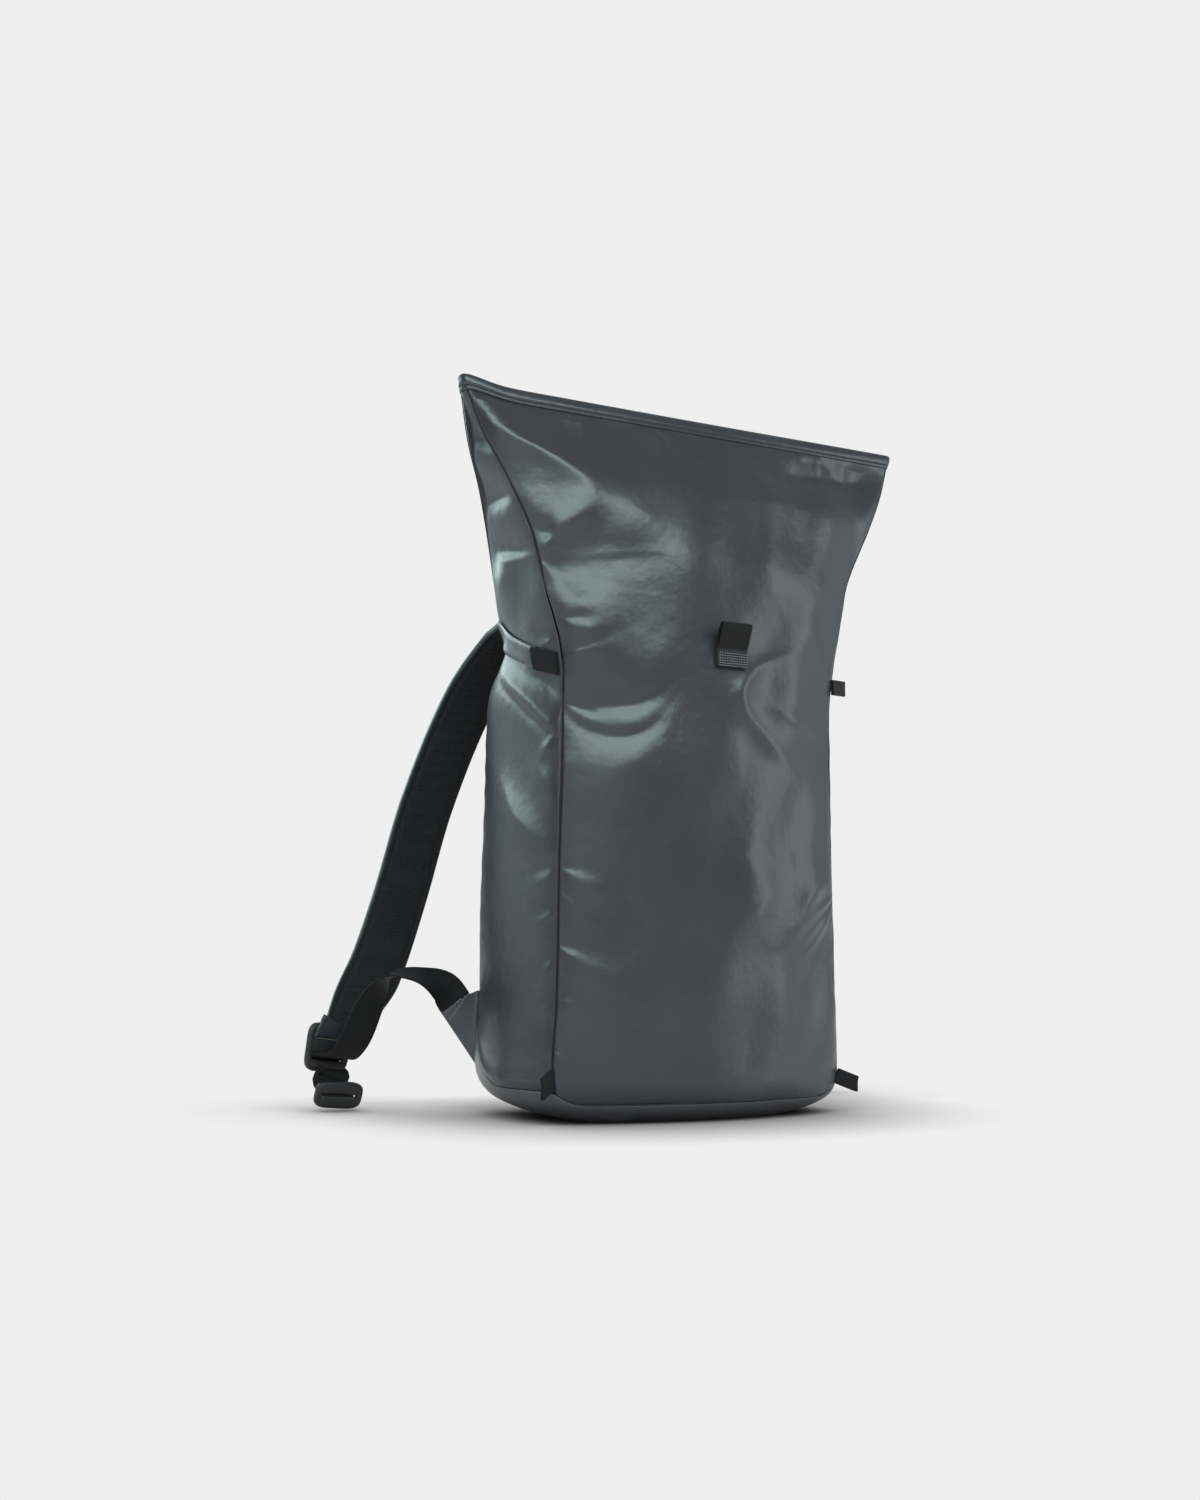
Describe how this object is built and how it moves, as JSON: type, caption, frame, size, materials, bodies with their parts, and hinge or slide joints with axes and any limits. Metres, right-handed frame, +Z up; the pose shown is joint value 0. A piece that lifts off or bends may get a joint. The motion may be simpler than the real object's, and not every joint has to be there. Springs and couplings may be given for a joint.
{
  "type": "mini backpack",
  "caption": "Small roll-top backpack in coated cloth, standing open and unrolled, with a flared mouth, front webbing loop, side tabs, padded back and splayed padded shoulder straps.",
  "frame": {"origin": "middle of the flat rest face of the base", "axes": "+Z up from the base to the mouth, -Y out of the front, +X to the right as seen from the front"},
  "size_m": [0.4475, 0.2431, 0.49],
  "materials": {
    "shell_cloth": "satin coated",
    "padding": "open mesh over foam",
    "webbing": "woven",
    "plastic": "moulded"
  },
  "bodies": {
    "root": {"front_panel": "shell_cloth", "left_side_panel": "shell_cloth", "right_side_panel": "shell_cloth", "back_panel": "shell_cloth", "base_panel": "shell_cloth", "mouth_binding": "shell_cloth", "left_side_strip": "shell_cloth", "right_side_strip": "shell_cloth", "left_strap_anchor": "shell_cloth", "right_strap_anchor": "shell_cloth", "back_pad": "padding", "left_strap_pad": "padding", "right_strap_pad": "padding", "strap_yoke": "webbing", "front_loop": "webbing", "left_upper_tab": "webbing", "right_upper_tab": "webbing", "left_lower_tab": "webbing", "right_lower_tab": "webbing", "left_strap_tongue": "webbing", "right_strap_tongue": "webbing", "left_strap_webbing": "webbing", "right_strap_webbing": "webbing", "left_ladder_lock": "plastic", "right_ladder_lock": "plastic", "left_tail_stop": "plastic", "right_tail_stop": "plastic"}
  },
  "joints": []
}
